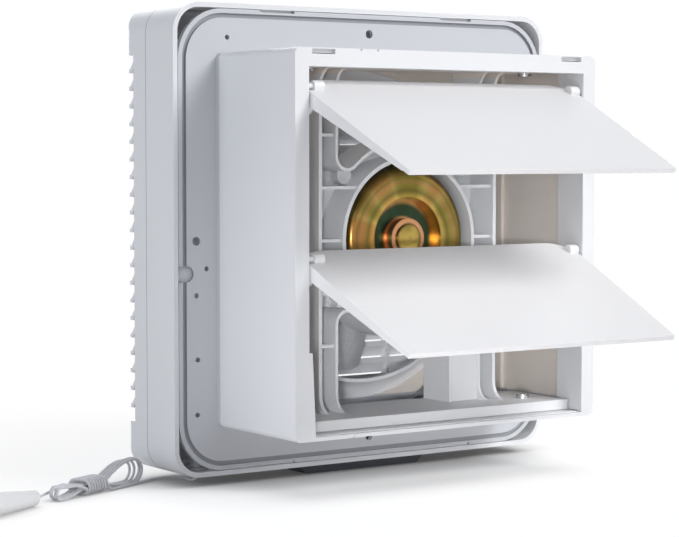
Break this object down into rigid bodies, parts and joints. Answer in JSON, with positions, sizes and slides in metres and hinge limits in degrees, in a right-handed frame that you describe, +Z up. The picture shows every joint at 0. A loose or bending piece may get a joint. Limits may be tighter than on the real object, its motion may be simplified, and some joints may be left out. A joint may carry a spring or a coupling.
{
  "type": "window exhaust fan",
  "caption": "Square window exhaust fan with a slatted room-side cover, a square duct and a linked flap shutter, worked by a pull cord.",
  "frame": {"origin": "on the fan axis, in the rear face of the back plate, at the centre of the four wall-screw holes", "axes": "+Z up, +Y outdoors along the fan axis, +X to the left when the outlet is looked at from outdoors"},
  "size_m": [0.3563, 0.1946, 0.245],
  "materials": {
    "white_plastic": "satin moulded white",
    "cover_plastic": "satin moulded white",
    "knob_plastic": "satin moulded white",
    "impeller_plastic": "satin moulded pale grey",
    "ivory_plastic": "matt ivory",
    "grey_plastic": "matt grey",
    "dark_plastic": "matt near-black",
    "gold_steel": "gold-passivated steel, glossy",
    "core_steel": "stamped laminations",
    "copper_wire": "enamelled copper wire",
    "plated_steel": "bright zinc plate",
    "bronze": "sintered bronze",
    "grey_sleeve": "soft vinyl sleeve",
    "cord_fibre": "twisted synthetic cord"
  },
  "bodies": {
    "housing": {"housing_shell": "white_plastic", "rear_body": "white_plastic", "air_ring": "white_plastic", "outlet_frame": "white_plastic", "motor_bracket": "white_plastic", "motor_rear_shell": "gold_steel", "motor_front_shell": "gold_steel", "stator_core": "core_steel", "stator_windings": "copper_wire", "shaft_bearings": "bronze", "lead_cover": "white_plastic", "motor_lead": "grey_sleeve", "run_capacitor": "dark_plastic", "terminal_block": "ivory_plastic", "pull_switch": "grey_plastic", "cord_eyelet": "grey_plastic", "motor_screws": "plated_steel", "bracket_screws": "plated_steel", "ring_screws": "plated_steel", "cord_run": "cord_fibre", "cord_hank": "cord_fibre", "cord_tail": "cord_fibre", "pull_knob": "knob_plastic"},
    "cover": {"front_cover": "cover_plastic"},
    "impeller_rotor": {"rotor": "plated_steel", "motor_shaft": "plated_steel", "impeller": "impeller_plastic", "impeller_nut": "white_plastic"},
    "upper_shutter": {"upper_flap": "white_plastic"},
    "lower_shutter": {"lower_flap": "white_plastic"},
    "shutter_link": {"link_bar": "white_plastic"},
    "cup": {"oil_cup": "grey_plastic"},
    "switch_bar": {"pull_bar": "ivory_plastic"}
  },
  "joints": [
    {"name": "fan_spin", "type": "hinge", "parent": "housing", "child": "impeller_rotor", "pos_m": [0, 0, 0], "axis": [0, 1, 0], "continuous": true},
    {"name": "upper_flap_hinge", "type": "hinge", "parent": "housing", "child": "upper_shutter", "pos_m": [0, 0.0675, 0.0765], "axis": [1, 0, 0], "range_deg": [-58.5, 0]},
    {"name": "lower_flap_hinge", "type": "hinge", "parent": "housing", "child": "lower_shutter", "pos_m": [0, 0.0675, -0.0068], "axis": [1, 0, 0], "range_deg": [-58.5, 0]},
    {"name": "link_hinge", "type": "hinge", "parent": "upper_shutter", "child": "shutter_link", "pos_m": [0.0842, 0.06218, 0.06574], "axis": [1, 0, 0], "range_deg": [0, 58.5]},
    {"name": "cover_slide", "type": "slide", "parent": "housing", "child": "cover", "axis": [0, -1, 0], "range_m": [0, 0.04]},
    {"name": "cup_slide", "type": "slide", "parent": "housing", "child": "cup", "axis": [0, 0, -1], "range_m": [0, 0.02]},
    {"name": "pull_slide", "type": "slide", "parent": "housing", "child": "switch_bar", "axis": [0, 0, -1], "range_m": [0, 0.007], "stiffness_N_per_m": 150}
  ],
  "couplings": [
    {"joint": "lower_flap_hinge", "follows": "upper_flap_hinge", "ratio": 1},
    {"joint": "link_hinge", "follows": "upper_flap_hinge", "ratio": -1}
  ]
}
